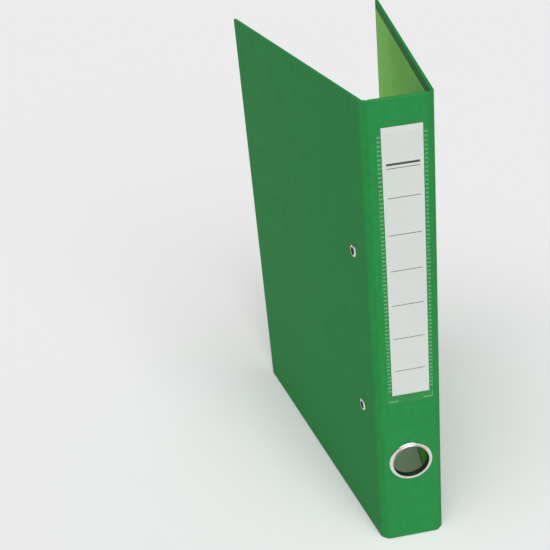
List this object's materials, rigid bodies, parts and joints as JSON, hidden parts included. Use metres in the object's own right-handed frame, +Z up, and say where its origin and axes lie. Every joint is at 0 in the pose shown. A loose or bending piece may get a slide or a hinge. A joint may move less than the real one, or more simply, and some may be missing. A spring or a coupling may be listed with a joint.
{
  "type": "two-ring file",
  "caption": "Upright board file for A4 paper with a ring mechanism riveted in the rear cover, scored folds, a label in a clear pocket and a ringed finger hole.",
  "frame": {"origin": "centre of the spine board's lower end, where the file stands", "axes": "+Z up the file, -Y out of the spine's outer face, +X from the rear cover to the front cover"},
  "size_m": [0.1127, 0.2355, 0.32],
  "materials": {
    "foil": "smooth coated wrap with a faint grain",
    "greyboard": "raw board",
    "lining": "matt printed paper",
    "nickel": "bright nickel plate",
    "steel": "plain spring steel",
    "film": "clear soft film with a satin sheen",
    "card": "smooth white card"
  },
  "bodies": {
    "spine": {"spine_wrap": "foil", "spine_board": "greyboard", "spine_lining": "lining", "finger_ring_eyelet": "nickel", "finger_ring_washer": "nickel", "label_pocket": "film"},
    "label": {"label_card": "card"},
    "rear_fold": {"rear_fold_strip": "foil"},
    "rear_cover": {"rear_cover_wrap": "foil", "rear_cover_board": "greyboard", "rear_cover_lining": "lining", "mechanism_shield": "nickel", "upper_rivet": "nickel", "lower_rivet": "nickel"},
    "front_fold": {"front_fold_strip": "foil"},
    "front_cover": {"front_cover_wrap": "foil", "front_cover_board": "greyboard", "front_cover_lining": "lining"},
    "fold_side_rings": {"fold_side_blade": "steel", "upper_ring_fold_side": "nickel", "lower_ring_fold_side": "nickel"},
    "edge_side_rings": {"edge_side_blade": "steel", "upper_ring_edge_side": "nickel", "lower_ring_edge_side": "nickel"}
  },
  "joints": [
    {"name": "rear_fold_crease", "type": "hinge", "parent": "spine", "child": "rear_fold", "pos_m": [-0.0175, -0.0012, 0.16], "axis": [0, 0, -1], "range_deg": [-40, 5]},
    {"name": "rear_cover_crease", "type": "hinge", "parent": "rear_fold", "child": "rear_cover", "pos_m": [-0.0221, 0.00266, 0.16], "axis": [0, 0, -1], "range_deg": [-40, 5]},
    {"name": "front_fold_crease", "type": "hinge", "parent": "spine", "child": "front_fold", "pos_m": [0.0175, -0.0012, 0.16], "axis": [0, 0, 1], "range_deg": [-41.5, 3.5]},
    {"name": "front_cover_crease", "type": "hinge", "parent": "front_fold", "child": "front_cover", "pos_m": [0.02199, 0.00278, 0.16], "axis": [0, 0, 1], "range_deg": [-41.5, 3.5]},
    {"name": "edge_side_ring_swing", "type": "hinge", "parent": "rear_cover", "child": "edge_side_rings", "pos_m": [-0.02234, 0.03023, 0.16], "axis": [0, 0, 1], "range_deg": [0, 18]},
    {"name": "fold_side_ring_swing", "type": "hinge", "parent": "rear_cover", "child": "fold_side_rings", "pos_m": [-0.01949, 0.01408, 0.16], "axis": [0, 0, -1], "range_deg": [0, 18]},
    {"name": "label_lift", "type": "slide", "parent": "spine", "child": "label", "axis": [0, 0, 1], "range_m": [0, 0.185]}
  ],
  "couplings": [
    {"joint": "rear_cover_crease", "follows": "rear_fold_crease", "ratio": 1},
    {"joint": "front_cover_crease", "follows": "front_fold_crease", "ratio": 1},
    {"joint": "fold_side_ring_swing", "follows": "edge_side_ring_swing", "ratio": 1}
  ]
}
